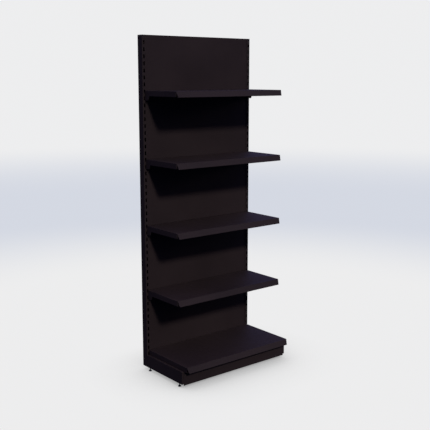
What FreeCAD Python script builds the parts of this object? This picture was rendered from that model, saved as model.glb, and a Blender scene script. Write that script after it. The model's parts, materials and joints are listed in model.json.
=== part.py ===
"""Single-sided wall bay of gondola shelving, drawn piece by piece, in millimetres.

Two slotted uprights on base legs carry hooked-in back panels, a base shelf with a kick plate, and four
shelves on hooked brackets. +Z is up, the bay's front faces -Y, and X = 0 is midway between the uprights.
Every function draws with Y = 0 on the uprights' front faces; save() moves a piece to the part's origin,
which is the middle of the bay's footprint on the floor.
"""

import FreeCAD, Part
import math
import os

from FreeCAD import Vector

# Bay and uprights
BAY_WIDTH = 1000.0            # between the uprights' centre lines
UPRIGHT_WIDTH = 30.0
UPRIGHT_DEPTH = 60.0
UPRIGHT_LENGTH = 2510.0
UPRIGHT_WALL = 2.0
UPRIGHT_CORNER = 4.0          # outer radius of the rolled corners
FLOOR_GAP = 30.0              # floor to the lower ends of uprights and legs

# Slot column on the uprights' front faces
SLOT_PITCH = 50.0
SLOT_WIDTH = 12.0
SLOT_HEIGHT = 28.0
SLOT_CORNER = 2.0
SLOT_FIRST = 57.0             # lower end of the upright to the middle of its lowest slot

# Wall fixing holes in the uprights' rear faces
WALL_HOLE_RADIUS = 4.5
WALL_HOLE_FROM_TOP = 60.0

# Upright caps
CAP_TOP = 3.0                 # thickness of the cap's disc
CAP_SKIRT = 22.0              # how far the cap reaches into the tube
CAP_WALL = 2.0
CAP_CLEARANCE = 0.2

# Back panels
PANEL_SHEET = 0.8
PANEL_RECESS = 3.0            # panel face behind the uprights' faces
PANEL_FLANGE = 20.0           # depth of the folded side edges
PANEL_EDGE = 14.0             # depth of the folded top and bottom edges
PANEL_BOTTOM = 140.0          # height of the lowest panel's lower edge
PANEL_SEAM_DROP = 3.0         # each seam is this far below a shelf's face
PANEL_GAP = 0.6               # between two panels
PANEL_SIDE_GAP = 0.5          # panel to upright
TAB_THICKNESS = 1.5
TAB_HEIGHT = 24.0
TAB_REACH = 7.0               # outwards from the panel's side
TAB_INSET = 60.0              # from the panel's end to the tab's middle
TAB_DEPTH = 15.0              # from the panel's face to the tab's face
TAB_SLOT_CLEARANCE = 1.2

# Tie beams between the uprights, behind the panels
TIE_HEIGHT = 60.0
TIE_SHEET = 2.0
TIE_SETBACK = 30.0            # beam web behind the uprights' faces
TIE_REAR_GAP = 5.0            # beam's rear edges in front of the uprights' rear faces
TIE_SIDE_GAP = 0.5
TIE_FROM_LOWER_END = 45.0     # lower end of the uprights to the bottom beam's middle
TIE_FROM_TOP = 70.0
TIE_LIP = 10.0                # stiffening lip on the beam's flanges
BOLT_RADIUS = 3.0
BOLT_HOLE_CLEARANCE = 0.3
BOLT_HEAD_FLATS = 10.0
BOLT_HEAD_HEIGHT = 4.0
BOLT_LENGTH = 14.0
BOLT_SPACING = 36.0           # between the two bolts of one beam end

# Shelves
SHELF_SHEET = 1.0
FOLD_RADIUS = 1.2             # inner radius of every fold
SHELF_COUNT = 4
SHELF_ABOVE_SLOT = 6.0        # shelf top above the centre of its upper slot
SHELF_DEPTH = 385.0           # uprights' faces to the shelf's front fold
SHELF_REAR_GAP = 6.5          # uprights' faces to the shelf's rear edge, so that it can tilt
SHELF_SIDE_HEIGHT = 39.0      # height of bracket arm and shelf side together
SHELF_RETURN = 14.0           # inward fold under the shelf's sides
REAR_FLANGE = 34.0
LIP_REACH = 18.0              # how far the lip slopes outwards
LIP_DROP = 43.0
LIP_RETURN = 12.0             # fold back under the lip
LIP_END_INSET = 10.0          # lip's lower corners inside its upper ones
LIP_END_GAP = 0.5             # closed end of the lip to the folded side behind it
CORNER_RELIEF = 5.0           # open notch where two folds meet

# Stiffening rails under the shelves
RAIL_WIDTH = 50.0
RAIL_HEIGHT = 22.0
RAIL_FLANGE = 14.0
RAIL_SHEET = 1.0
RAIL_END_GAP = 30.0

# Shelf brackets
BRACKET_PLATE = 3.0
BRACKET_FROM_CENTRE = 1.2     # upright's centre line to the plate's outer face
BRACKET_REAR_GAP = 0.4        # plate's rear edge to the upright
BRACKET_REAR_HEIGHT = 71.0    # shelf top to the foot of the rear part
BRACKET_REAR_DEPTH = 42.0
BRACKET_STEP = 12.0           # length of the slope from the rear part to the arm
BRACKET_FRONT_GAP = 3.0       # plate's front end behind the shelf's front fold
BRACKET_TOP_DROP = 0.5        # plate's upper edge below the shelf's face
BRACKET_CORNERS = (4.0, 4.0, 12.0, 12.0, 4.0, 2.0)    # radii, from the rear upper corner down and round
BRACKET_LEDGE = 16.0          # width of the inward ledge that the shelf rests on
BRACKET_LEDGE_SHEET = 2.0
TRAY_SIDE_GAP = 0.5           # shelf to bracket plate
TRAY_REST_GAP = 0.3           # shelf to bracket ledge
HOOK_CLEARANCE = 0.3          # hook to slot and to the upright's wall
HOOK_REACH = 9.0              # into the upright, from its face
HOOK_DROP = 8.0
HOOK_BELOW_EDGE = 10.0        # top of the upper hook below the plate's upper edge
HOOK_BEVEL = 2.0
HOOK_RELIEF_ANGLE = 19.0      # slope of the hook's inner face, more than the bracket tilts
LOWER_HOOK_MARGIN = 4.5       # lower hook to the ends of its slot
LOCATING_TAB = (8.0, 2.0, 4.0)        # length, thickness and height
LOCATING_TAB_FROM_FRONT = 70.0
LOCATING_SLOT_CLEARANCE = 2.5

# Base legs
LEG_HEIGHT = 97.0
LEG_SETBACK = 41.5            # leg's front end behind the base shelf's front fold
LEG_SHEET = 1.5
LEG_PLATE = 3.0               # end plate and hook
LEG_CORNERS = (0.0, 0.0, 3.0, 2.0)    # radii, from the lower rear corner over the top to the front
LEG_HOOK_HEIGHT = 22.0
LEG_BOLT_RADIUS = 4.0
LEG_BOLT_HEAD_FLATS = 13.0
LEG_BOLT_HEAD_HEIGHT = 5.5
LEG_BOLT_LENGTH = 14.0
LEG_BOLT_ABOVE_END = 22.0
FOOT_PLATE_LENGTH = 26.0
FOOT_PLATE_THICKNESS = 4.0
FOOT_PLATE_RISE = 2.5         # foot plate's underside above the leg's lower edges

# Base shelf
BASE_DEPTH = 491.0            # uprights' faces to the base shelf's front fold
BASE_SIDE_HEIGHT = 40.0
BASE_LIP_DROP = 43.0
BASE_LIP_END_LAP = 16.0       # closed ends of the base shelf's lip run this far inside its sides
BASE_REAR_GAP = 1.5
BASE_SIDE_FROM_CENTRE = 1.0   # upright's centre line to the base shelf's side
BASE_REST_GAP = 0.3
BASE_RAIL_COUNT = 2

# Kick plate
KICK_SHEET = 1.2
KICK_FLOOR_GAP = 19.0
KICK_TOP_GAP = 5.0            # kick plate to the base shelf's side, below the lip
KICK_SIDE_GAP = 0.5           # kick plate's end to the upright's centre line
KICK_LEG_GAP = 0.8            # kick plate's rear face to the legs
KICK_EDGE = 14.0              # depth of its folded upper and lower edges
KICK_WING = 26.0              # depth of the wings that the clips hold
KICK_WING_INSET = 15.0        # wings' ends inside the plate's upper and lower edges
CLIP_SHEET = 1.0
CLIP_HEIGHT = 30.0
CLIP_GAP = 0.4                # clip to kick plate wing
CLIP_LENGTH = 34.0

# Levelling feet
FOOT_FROM_UPRIGHT = 17.0      # uprights' faces to the rear feet's centres
FOOT_FROM_LEG_END = 49.5      # legs' front ends to the front feet's centres
STUD_RADIUS = 4.0
STUD_HOLE_CLEARANCE = 0.3
STUD_LENGTH = 52.0
STUD_CHAMFER = 1.0
PAD_RADIUS = 11.0
PAD_HEIGHT = 8.0
PAD_CHAMFER = 2.0
PAD_SOCKET_DEPTH = 5.0
PAD_SOCKET_CLEARANCE = 0.05
LOCK_NUT_FLATS = 13.0
LOCK_NUT_HEIGHT = 6.5

PAST = 1.0                    # cutting bodies run this far past the metal


def lip_nose(depth, drop):
    """Foremost point of a shelf with its lip, whose lower fold is rounded."""
    fold = FOLD_RADIUS + SHELF_SHEET
    half_angle = math.atan2(drop, LIP_REACH) / 2
    return depth + LIP_REACH - fold * (1 / math.tan(half_angle) - 1)


# Places worked out from the sizes above
TOP = FLOOR_GAP + UPRIGHT_LENGTH
HALF_BAY = BAY_WIDTH / 2
BASE_REACH = lip_nose(BASE_DEPTH, BASE_LIP_DROP)
FRONT_FACE_Y = (BASE_REACH - UPRIGHT_DEPTH) / 2     # uprights' faces in the part's own frame
LEG_TOP = FLOOR_GAP + LEG_HEIGHT
LEG_LENGTH = BASE_DEPTH - LEG_SETBACK
FOOT_POSITIONS = {"rear": -FOOT_FROM_UPRIGHT, "front": FOOT_FROM_LEG_END - LEG_LENGTH}
FOOT_PLATE_BOTTOM = FLOOR_GAP + FOOT_PLATE_RISE
TIE_DEPTH = UPRIGHT_DEPTH - TIE_SETBACK - TIE_REAR_GAP
TIE_CENTRES = {"bottom": FLOOR_GAP + TIE_FROM_LOWER_END,
               "middle": (FLOOR_GAP + TIE_FROM_LOWER_END + TOP - TIE_FROM_TOP) / 2,
               "top": TOP - TIE_FROM_TOP}
SLOT_COUNT = int((UPRIGHT_LENGTH - SLOT_FIRST) / SLOT_PITCH) + 1
SHELF_SLOT_STEP = SLOT_COUNT // (SHELF_COUNT + 1)   # slots between two shelves
PANEL_COUNT = SHELF_COUNT + 1
BASE_TOP = LEG_TOP + BASE_REST_GAP + BASE_SIDE_HEIGHT
INNER_WALL_X = HALF_BAY - UPRIGHT_WIDTH / 2         # the faces of the uprights that face each other
BRACKET_OUTER_X = HALF_BAY - BRACKET_FROM_CENTRE
BRACKET_INNER_X = BRACKET_OUTER_X - BRACKET_PLATE
TRAY_HALF = BRACKET_INNER_X - TRAY_SIDE_GAP
SIDES = {"left": -1, "right": 1}


def slot_centre(index):
    """Height of the middle of a slot, counted from 0 at the upright's lower end."""
    return FLOOR_GAP + SLOT_FIRST + SLOT_PITCH * index


def shelf_top(number):
    """Height of a shelf's face, a little above the middle of its upper slot; shelf 1 is the lowest."""
    return slot_centre(SHELF_SLOT_STEP * number + 1) + SHELF_ABOVE_SLOT


def save(name, *solids):
    """Write a piece's solids, moved to the part's own origin, as parts/name.step."""
    shape = solids[0].copy() if len(solids) == 1 else Part.makeCompound(list(solids))
    shape.translate(Vector(0, FRONT_FACE_Y, 0))
    shape.exportStep("parts/%s.step" % name)


def block(x0, x1, y0, y1, z0, z1):
    """Box between two corners, given in any order."""
    low = Vector(min(x0, x1), min(y0, y1), min(z0, z1))
    return Part.makeBox(abs(x1 - x0), abs(y1 - y0), abs(z1 - z0), low)


def joined(shapes):
    """One solid from overlapping or touching solids, without seams between flat faces."""
    return shapes[0].fuse(shapes[1:]).removeSplitter()


def mirrored(shape):
    """The same piece for the other side of the bay."""
    return shape.mirror(Vector(0, 0, 0), Vector(1, 0, 0))


def for_side(shape, side):
    """A piece drawn for the right side, mirrored for the left."""
    return shape if side > 0 else mirrored(shape)


def rounded_wire(corners, radii):
    """Closed wire through the corners, each rounded to its own radius."""
    arcs = []
    for index, corner in enumerate(corners):
        to_before = (corners[index - 1] - corner).normalize()
        to_after = (corners[(index + 1) % len(corners)] - corner).normalize()
        half_angle = to_before.getAngle(to_after) / 2
        radius = radii[index]
        setback = radius / math.tan(half_angle)
        bisector = (to_before + to_after).normalize() if radius else Vector()
        middle = corner + bisector * (radius / math.sin(half_angle) - radius)
        arcs.append((corner + to_before * setback, middle, corner + to_after * setback))
    edges = []
    for index, (start, middle, end) in enumerate(arcs):
        if radii[index]:
            edges.append(Part.Arc(start, middle, end).toShape())
        following = arcs[(index + 1) % len(arcs)][0]
        if end.distanceToPoint(following) > 1e-6:
            edges.append(Part.makeLine(end, following))
    return Part.Wire(edges)


def side_profile(corners, radii, x0, x1):
    """Solid with a (y, z) outline, running from x0 to x1."""
    points = [Vector(x0, y, z) for y, z in corners]
    return Part.Face(rounded_wire(points, radii)).extrude(Vector(x1 - x0, 0, 0))


def front_profile(corners, radii, y0, y1):
    """Solid with an (x, z) outline, running from y0 to y1."""
    points = [Vector(x, y0, z) for x, z in corners]
    return Part.Face(rounded_wire(points, radii)).extrude(Vector(0, y1 - y0, 0))


def plan_profile(corners, radii, z0, z1):
    """Solid with an (x, y) outline, running from z0 to z1."""
    points = [Vector(x, y, z0) for x, y in corners]
    return Part.Face(rounded_wire(points, radii)).extrude(Vector(0, 0, z1 - z0))


def rectangle(u0, u1, v0, v1):
    return [(u0, v0), (u1, v0), (u1, v1), (u0, v1)]


def sheet_outline(path, thickness):
    """Corners and radii of folded sheet whose outer face follows path, with its metal on the left."""
    points = [Vector(u, v, 0) for u, v in path]
    runs = [(b - a).normalize() for a, b in zip(points, points[1:])]
    normals = [Vector(-run.y, run.x, 0) for run in runs]
    inner = [points[0] + normals[0] * thickness]
    path_radii = [0.0]
    inner_radii = [0.0]
    for index in range(1, len(points) - 1):
        before = normals[index - 1]
        after = normals[index]
        inner.append(points[index] + (before + after) * (thickness / (1 + before.dot(after))))
        turns_left = runs[index - 1].cross(runs[index]).z > 0
        path_radii.append(FOLD_RADIUS + (thickness if turns_left else 0.0))
        inner_radii.append(FOLD_RADIUS + (0.0 if turns_left else thickness))
    inner.append(points[-1] + normals[-1] * thickness)
    path_radii.append(0.0)
    inner_radii.append(0.0)
    corners = [(p.x, p.y) for p in points + inner[::-1]]
    return corners, path_radii + inner_radii[::-1]


def cylinder(radius, length, base, direction):
    return Part.makeCylinder(radius, length, base, direction)


def hexagon(flats, height, base, direction):
    """Hexagonal prism, for bolt heads and nuts."""
    bar = block(-flats / 2, flats / 2, -flats / math.sqrt(12), flats / math.sqrt(12), 0, height)
    prism = bar
    for turn in (60, 120):
        slab = bar.copy()
        slab.rotate(Vector(), Vector(0, 0, 1), turn)
        prism = prism.fuse(slab)
    prism = prism.removeSplitter()
    prism.Placement = FreeCAD.Placement(base, FreeCAD.Rotation(Vector(0, 0, 1), direction))
    return prism


# ---- Uprights ----

def panel_span(number):
    """Lower and upper edge of a back panel; panel 1 is the lowest."""
    low = PANEL_BOTTOM if number == 1 else shelf_top(number - 1) - PANEL_SEAM_DROP + PANEL_GAP / 2
    high = TOP if number == PANEL_COUNT else shelf_top(number) - PANEL_SEAM_DROP - PANEL_GAP / 2
    return low, high


def tab_heights(number):
    low, high = panel_span(number)
    return low + TAB_INSET, high - TAB_INSET


def tie_bolt_heights():
    """Heights of all the bolts that hold the tie beams to one upright."""
    return [centre + sign * BOLT_SPACING / 2 for centre in TIE_CENTRES.values() for sign in (-1, 1)]


def tie_bolt_y():
    return TIE_SETBACK + TIE_DEPTH / 2


def front_slots():
    """Cutting bodies for the slot column of an upright at X = 0."""
    half_width = SLOT_WIDTH / 2
    half_height = SLOT_HEIGHT / 2
    slot = front_profile(rectangle(-half_width, half_width, -half_height, half_height),
                         [SLOT_CORNER] * 4, -UPRIGHT_WALL, UPRIGHT_WALL * 2)
    cutters = []
    for index in range(SLOT_COUNT):
        cutter = slot.copy()
        cutter.translate(Vector(0, 0, slot_centre(index)))
        cutters.append(cutter)
    return cutters


def inner_wall_cuts():
    """Cutting bodies for the wall that faces the bay, in an upright at X = 0 on the bay's right side."""
    x0 = -UPRIGHT_WIDTH / 2 - UPRIGHT_WALL
    x1 = -UPRIGHT_WIDTH / 2 + UPRIGHT_WALL * 2
    tab_y = PANEL_RECESS + TAB_DEPTH
    cutters = []
    for number in range(1, PANEL_COUNT + 1):
        for height in tab_heights(number):
            half = TAB_HEIGHT / 2 + TAB_SLOT_CLEARANCE
            cutters.append(block(x0, x1, tab_y - TAB_SLOT_CLEARANCE,
                                 tab_y + TAB_THICKNESS + TAB_SLOT_CLEARANCE, height - half, height + half))
    for height in tie_bolt_heights():
        cutters.append(cylinder(BOLT_RADIUS + BOLT_HOLE_CLEARANCE, x1 - x0,
                                Vector(x0, tie_bolt_y(), height), Vector(1, 0, 0)))
    return cutters


def upright():
    """Slotted tube at X = 0, drawn for the bay's right side."""
    half = UPRIGHT_WIDTH / 2
    outer = plan_profile(rectangle(-half, half, 0, UPRIGHT_DEPTH), [UPRIGHT_CORNER] * 4, FLOOR_GAP, TOP)
    hollow = plan_profile(rectangle(-half + UPRIGHT_WALL, half - UPRIGHT_WALL,
                                    UPRIGHT_WALL, UPRIGHT_DEPTH - UPRIGHT_WALL),
                          [UPRIGHT_CORNER - UPRIGHT_WALL] * 4, FLOOR_GAP, TOP)
    wall_hole_start = Vector(0, UPRIGHT_DEPTH - UPRIGHT_WALL * 2, TOP - WALL_HOLE_FROM_TOP)
    wall_hole = cylinder(WALL_HOLE_RADIUS, UPRIGHT_WALL * 3, wall_hole_start, Vector(0, 1, 0))
    leg_hole = cylinder(LEG_BOLT_RADIUS + BOLT_HOLE_CLEARANCE, UPRIGHT_WALL * 3,
                        Vector(0, -UPRIGHT_WALL, FLOOR_GAP + LEG_BOLT_ABOVE_END), Vector(0, 1, 0))
    cutters = front_slots() + inner_wall_cuts() + [wall_hole, leg_hole]
    return outer.cut(hollow).cut(Part.makeCompound(cutters))


def upright_cap():
    """Push-in plastic cap for the top of an upright at X = 0."""
    inside = UPRIGHT_WALL + CAP_CLEARANCE
    half = UPRIGHT_WIDTH / 2 - inside
    corner = UPRIGHT_CORNER - UPRIGHT_WALL
    body = plan_profile(rectangle(-half, half, inside, UPRIGHT_DEPTH - inside), [corner] * 4,
                        TOP - CAP_SKIRT, TOP)
    hollow = block(-half + CAP_WALL, half - CAP_WALL, inside + CAP_WALL, UPRIGHT_DEPTH - inside - CAP_WALL,
                   TOP - CAP_SKIRT, TOP - CAP_TOP)
    return body.cut(hollow)


# ---- Back ----

def back_panel(number):
    """Sheet panel with four folded edges and four tabs that hook into the uprights' inner walls.

    The side edges run its full height, and the upper and lower ones end where they would meet them.
    """
    low, high = panel_span(number)
    half = INNER_WALL_X - PANEL_SIDE_GAP
    face_y = PANEL_RECESS
    path = [(face_y + PANEL_EDGE, high), (face_y, high), (face_y, low), (face_y + PANEL_EDGE, low)]
    corners, radii = sheet_outline(path, PANEL_SHEET)
    edge_half = half - PANEL_SHEET - FOLD_RADIUS
    pieces = [side_profile(corners, radii, -edge_half, edge_half)]
    side_path = [(edge_half, face_y), (half, face_y), (half, face_y + PANEL_FLANGE)]
    side_corners, side_radii = sheet_outline(side_path, PANEL_SHEET)
    side = plan_profile(side_corners, side_radii, low, high)
    tab_y = face_y + TAB_DEPTH
    for height in tab_heights(number):
        tab = block(half - PANEL_SHEET, half + TAB_REACH, tab_y, tab_y + TAB_THICKNESS,
                    height - TAB_HEIGHT / 2, height + TAB_HEIGHT / 2)
        side = side.fuse(tab)
    pieces += [side, mirrored(side)]
    return joined(pieces)


def tie_beam(centre):
    """Lipped channel between the uprights, with an end plate for two bolts at each end."""
    half = INNER_WALL_X - TIE_SIDE_GAP
    low = centre - TIE_HEIGHT / 2
    high = centre + TIE_HEIGHT / 2
    rear = TIE_SETBACK + TIE_DEPTH
    path = [(rear, high - TIE_LIP), (rear, high), (TIE_SETBACK, high),
            (TIE_SETBACK, low), (rear, low), (rear, low + TIE_LIP)]
    corners, radii = sheet_outline(path, TIE_SHEET)
    beam = side_profile(corners, radii, -half, half)
    fold = TIE_SHEET + FOLD_RADIUS
    plate = block(half - TIE_SHEET, half, TIE_SETBACK + fold, rear - fold,
                  low + TIE_SHEET / 2, high - TIE_SHEET / 2)
    web_link = block(half - TIE_SHEET, half, TIE_SETBACK + TIE_SHEET / 2, TIE_SETBACK + TIE_DEPTH / 2,
                     low + fold, high - fold)
    holes = []
    for sign in (-1, 1):
        holes.append(cylinder(BOLT_RADIUS + BOLT_HOLE_CLEARANCE, TIE_SHEET * 3,
                              Vector(half - TIE_SHEET * 2, tie_bolt_y(), centre + sign * BOLT_SPACING / 2),
                              Vector(1, 0, 0)))
    end = plate.fuse(web_link).cut(Part.makeCompound(holes))
    return joined([beam, end, mirrored(end)])


def tie_bolts():
    """Hexagon bolts through the tie beams' end plates into both uprights."""
    bolts = []
    head_x = INNER_WALL_X - TIE_SIDE_GAP - TIE_SHEET
    for height in tie_bolt_heights():
        start = Vector(head_x, tie_bolt_y(), height)
        shank = cylinder(BOLT_RADIUS, BOLT_LENGTH, start, Vector(1, 0, 0))
        head = hexagon(BOLT_HEAD_FLATS, BOLT_HEAD_HEIGHT, start, Vector(-1, 0, 0))
        bolt = shank.fuse(head)
        bolts += [bolt, mirrored(bolt)]
    return bolts


# ---- Shelves and brackets ----

def lip_end(top, depth, lip_drop, lip_half, rear):
    """Sheet that closes the lip's right end, slanting inwards with it, from its rear edge to the lip."""
    nose = depth + LIP_REACH
    fold = FOLD_RADIUS + SHELF_SHEET
    bottom = top - lip_drop
    foot = lip_half - LIP_END_INSET
    head = lip_half - LIP_END_INSET * fold / lip_drop
    slab = front_profile([(head, top - fold), (foot, bottom), (foot - SHELF_SHEET, bottom),
                          (head - SHELF_SHEET, top - fold)], [0] * 4, -nose, rear)
    behind_lip = side_profile([(rear, top), (-depth, top), (-nose, bottom), (rear, bottom)],
                              [0, fold, fold, 0], foot - SHELF_SHEET, lip_half)
    return slab.common(behind_lip)


def shelf_sheet(top, depth, rear_gap, half, side_height, lip_drop, lip_half, front_step, end_lap):
    """Shelf folded from one sheet: face, rear edge, two sides with returns, and a closed, sloping front lip.

    The face is 2 * half wide, and 2 * lip_half in front of front_step, where it passes the brackets. The
    lip's closed ends reach end_lap behind front_step.
    """
    nose = depth + LIP_REACH
    lip_run = Vector(LIP_REACH, lip_drop, 0).normalize()
    path = [(-rear_gap, top - REAR_FLANGE), (-rear_gap, top), (-depth, top),
            (-nose, top - lip_drop), (-nose + LIP_RETURN, top - lip_drop)]
    corners, radii = sheet_outline(path, SHELF_SHEET)
    full = side_profile(corners, radii, -lip_half, lip_half)
    slope = LIP_END_INSET / lip_drop
    below = lip_drop + SHELF_SHEET
    outside = lip_half + PAST
    trims = []
    for side in SIDES.values():
        corner = front_profile([(side * outside, top), (side * lip_half, top),
                                (side * (lip_half - slope * below), top - below),
                                (side * outside, top - below)],
                               [0] * 4, -nose - PAST, -depth + lip_run.x * SHELF_SHEET)
        behind = block(side * half, side * outside, -front_step, 0, top - lip_drop, top + PAST)
        trims += [corner, behind]
    rear_trim = half - CORNER_RELIEF
    for side in SIDES.values():
        trims.append(block(side * rear_trim, side * outside, -rear_gap - CORNER_RELIEF, 0,
                           top - REAR_FLANGE - PAST, top + PAST))
    full = full.cut(trims)
    side_path = [(half - SHELF_RETURN, top - side_height), (half, top - side_height), (half, top), (0, top)]
    side_corners, side_radii = sheet_outline(side_path, SHELF_SHEET)
    flank = front_profile(side_corners, side_radii, -rear_gap - CORNER_RELIEF, -front_step)
    end = lip_end(top, depth, lip_drop, lip_half, end_lap - front_step)
    return joined([full, flank, mirrored(flank), end, mirrored(end)])


def rail(top, y, half):
    """Hat-section stiffener under a shelf's face, its flanges against the sheet."""
    low = top - RAIL_HEIGHT
    near = y - RAIL_WIDTH / 2
    far = y + RAIL_WIDTH / 2
    path = [(far + RAIL_FLANGE, top), (far, top), (far, low),
            (near, low), (near, top), (near - RAIL_FLANGE, top)]
    corners, radii = sheet_outline(path, RAIL_SHEET)
    return side_profile(corners, radii, -half, half)


def tray_side_height():
    """Height of a shelf's folded side, which stands on the bracket's ledge."""
    return SHELF_SIDE_HEIGHT - BRACKET_LEDGE_SHEET - TRAY_REST_GAP


def tab_y():
    """Middle of the locating tab on a bracket's ledge."""
    return -SHELF_DEPTH + LOCATING_TAB_FROM_FRONT


def shelf_tray(number):
    top = shelf_top(number)
    tray = shelf_sheet(top, SHELF_DEPTH, SHELF_REAR_GAP, TRAY_HALF, tray_side_height(), LIP_DROP,
                       BRACKET_OUTER_X, SHELF_DEPTH - BRACKET_FRONT_GAP + TRAY_SIDE_GAP, -LIP_END_GAP)
    length, thickness, _ = LOCATING_TAB
    tab_x = TRAY_HALF - SHELF_RETURN / 2
    low = top - tray_side_height()
    for side in SIDES.values():
        tray = tray.cut(block(side * (tab_x - thickness / 2 - LOCATING_SLOT_CLEARANCE),
                              side * (tab_x + thickness / 2 + LOCATING_SLOT_CLEARANCE),
                              tab_y() - length / 2 - LOCATING_SLOT_CLEARANCE,
                              tab_y() + length / 2 + LOCATING_SLOT_CLEARANCE,
                              low - PAST, low + SHELF_SHEET + PAST))
    return tray


def shelf_rail(number):
    middle = -(SHELF_REAR_GAP + SHELF_DEPTH) / 2
    return rail(shelf_top(number) - SHELF_SHEET, middle, TRAY_HALF - RAIL_END_GAP)


def bracket_outline(top):
    """(y, z) corners and radii of the bracket plate without its hooks."""
    upper = top - BRACKET_TOP_DROP
    foot = top - BRACKET_REAR_HEIGHT
    arm = top - SHELF_SIDE_HEIGHT
    rear = -BRACKET_REAR_GAP
    front = -SHELF_DEPTH + BRACKET_FRONT_GAP
    corners = [(rear, upper), (rear, foot), (-BRACKET_REAR_DEPTH, foot),
               (-BRACKET_REAR_DEPTH - BRACKET_STEP, arm), (front, arm), (front, upper)]
    return corners, BRACKET_CORNERS


def upper_hook(top):
    """(y, z) corners of the hook that carries the bracket on its slot's lower edge."""
    edge = slot_floor(top) + HOOK_CLEARANCE
    back = HOOK_REACH
    inside = UPRIGHT_WALL + HOOK_CLEARANCE
    relief = HOOK_DROP * math.tan(math.radians(HOOK_RELIEF_ANGLE))
    upper = top - BRACKET_TOP_DROP - HOOK_BELOW_EDGE
    return [(-BRACKET_REAR_DEPTH / 2, edge), (inside, edge), (inside + relief, edge - HOOK_DROP),
            (back, edge - HOOK_DROP), (back, upper - HOOK_BEVEL), (back - HOOK_BEVEL, upper),
            (-BRACKET_REAR_DEPTH / 2, upper)]


def slot_floor(top):
    """Lower edge of the slot that holds the upper hook of the shelf whose face is at top."""
    return top - SHELF_ABOVE_SLOT - SLOT_HEIGHT / 2


def shelf_bracket(number):
    """Hooked bracket plate with its inward ledge, drawn for the bay's right side."""
    top = shelf_top(number)
    corners, radii = bracket_outline(top)
    plate = side_profile(corners, radii, BRACKET_INNER_X, BRACKET_OUTER_X)
    hook = side_profile(upper_hook(top), [0] * 7, BRACKET_INNER_X, BRACKET_OUTER_X)
    lower_centre = top - SHELF_ABOVE_SLOT - SLOT_PITCH
    lower_half = SLOT_HEIGHT / 2 - LOWER_HOOK_MARGIN
    lower = block(BRACKET_INNER_X, BRACKET_OUTER_X, -BRACKET_REAR_DEPTH / 2, HOOK_REACH - 2,
                  lower_centre - lower_half, lower_centre + lower_half)
    arm = top - SHELF_SIDE_HEIGHT
    ledge_rear = -BRACKET_REAR_DEPTH - BRACKET_STEP * 2
    ledge_front = -SHELF_DEPTH + BRACKET_FRONT_GAP + CORNER_RELIEF
    ledge_top = arm + BRACKET_LEDGE_SHEET
    ledge = block(BRACKET_INNER_X - BRACKET_LEDGE, BRACKET_OUTER_X, ledge_rear, ledge_front, arm, ledge_top)
    length, thickness, height = LOCATING_TAB
    tab_x = TRAY_HALF - SHELF_RETURN / 2
    tab = block(tab_x - thickness / 2, tab_x + thickness / 2, tab_y() - length / 2, tab_y() + length / 2,
                ledge_top - BRACKET_LEDGE_SHEET / 2, ledge_top + height)
    return joined([plate, hook, lower, ledge, tab])


# ---- Base ----

def foot_ys():
    return FOOT_POSITIONS.values()


def base_leg():
    """Channel leg, open below, with a hooked end plate and a plate for each foot, drawn at X = 0."""
    half = UPRIGHT_WIDTH / 2
    solid = side_profile(rectangle(0, -LEG_LENGTH, FLOOR_GAP, LEG_TOP), LEG_CORNERS, -half, half)
    below = FLOOR_GAP - PAST
    inside = [(-LEG_PLATE, below), (-LEG_PLATE, LEG_TOP - LEG_SHEET),
              (-LEG_LENGTH + LEG_SHEET, LEG_TOP - LEG_SHEET), (-LEG_LENGTH + LEG_SHEET, below)]
    shell = solid.cut(side_profile(inside, [0] * 4, -half + LEG_SHEET, half - LEG_SHEET))
    pieces = [shell]
    for y in foot_ys():
        pieces.append(block(-half + LEG_SHEET / 2, half - LEG_SHEET / 2,
                            y - FOOT_PLATE_LENGTH / 2, y + FOOT_PLATE_LENGTH / 2,
                            FOOT_PLATE_BOTTOM, FOOT_PLATE_BOTTOM + FOOT_PLATE_THICKNESS))
    hook_centre = slot_centre(0)
    hook_low = hook_centre - SLOT_HEIGHT / 2 + HOOK_CLEARANCE
    inner = UPRIGHT_WALL + HOOK_CLEARANCE
    hook = [(-LEG_PLATE * 4, hook_low), (inner, hook_low), (inner, hook_low - HOOK_DROP),
            (HOOK_REACH, hook_low - HOOK_DROP), (HOOK_REACH, hook_low + LEG_HOOK_HEIGHT),
            (-LEG_PLATE * 4, hook_low + LEG_HOOK_HEIGHT)]
    pieces.append(side_profile(hook, [0] * 6, -LEG_PLATE / 2, LEG_PLATE / 2))
    leg = joined(pieces)
    bolt_hole = cylinder(LEG_BOLT_RADIUS + BOLT_HOLE_CLEARANCE, LEG_PLATE * 2,
                         Vector(0, -LEG_PLATE * 1.5, FLOOR_GAP + LEG_BOLT_ABOVE_END), Vector(0, 1, 0))
    leg = leg.cut(bolt_hole)
    for y in foot_ys():
        leg = leg.cut(cylinder(STUD_RADIUS + STUD_HOLE_CLEARANCE, FOOT_PLATE_THICKNESS * 2,
                               Vector(0, y, FOOT_PLATE_BOTTOM - PAST), Vector(0, 0, 1)))
    return leg


def leg_bolts():
    """Bolts from inside the legs through their end plates into the uprights."""
    bolts = []
    for side in SIDES.values():
        start = Vector(side * HALF_BAY, -LEG_PLATE, FLOOR_GAP + LEG_BOLT_ABOVE_END)
        shank = cylinder(LEG_BOLT_RADIUS, LEG_BOLT_LENGTH, start, Vector(0, 1, 0))
        head = hexagon(LEG_BOLT_HEAD_FLATS, LEG_BOLT_HEAD_HEIGHT, start, Vector(0, -1, 0))
        bolts.append(shank.fuse(head))
    return bolts


def base_shelf():
    half = HALF_BAY - BASE_SIDE_FROM_CENTRE
    return shelf_sheet(BASE_TOP, BASE_DEPTH, BASE_REAR_GAP, half, BASE_SIDE_HEIGHT, BASE_LIP_DROP, half,
                       BASE_DEPTH - BRACKET_FRONT_GAP, BASE_LIP_END_LAP)


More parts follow.
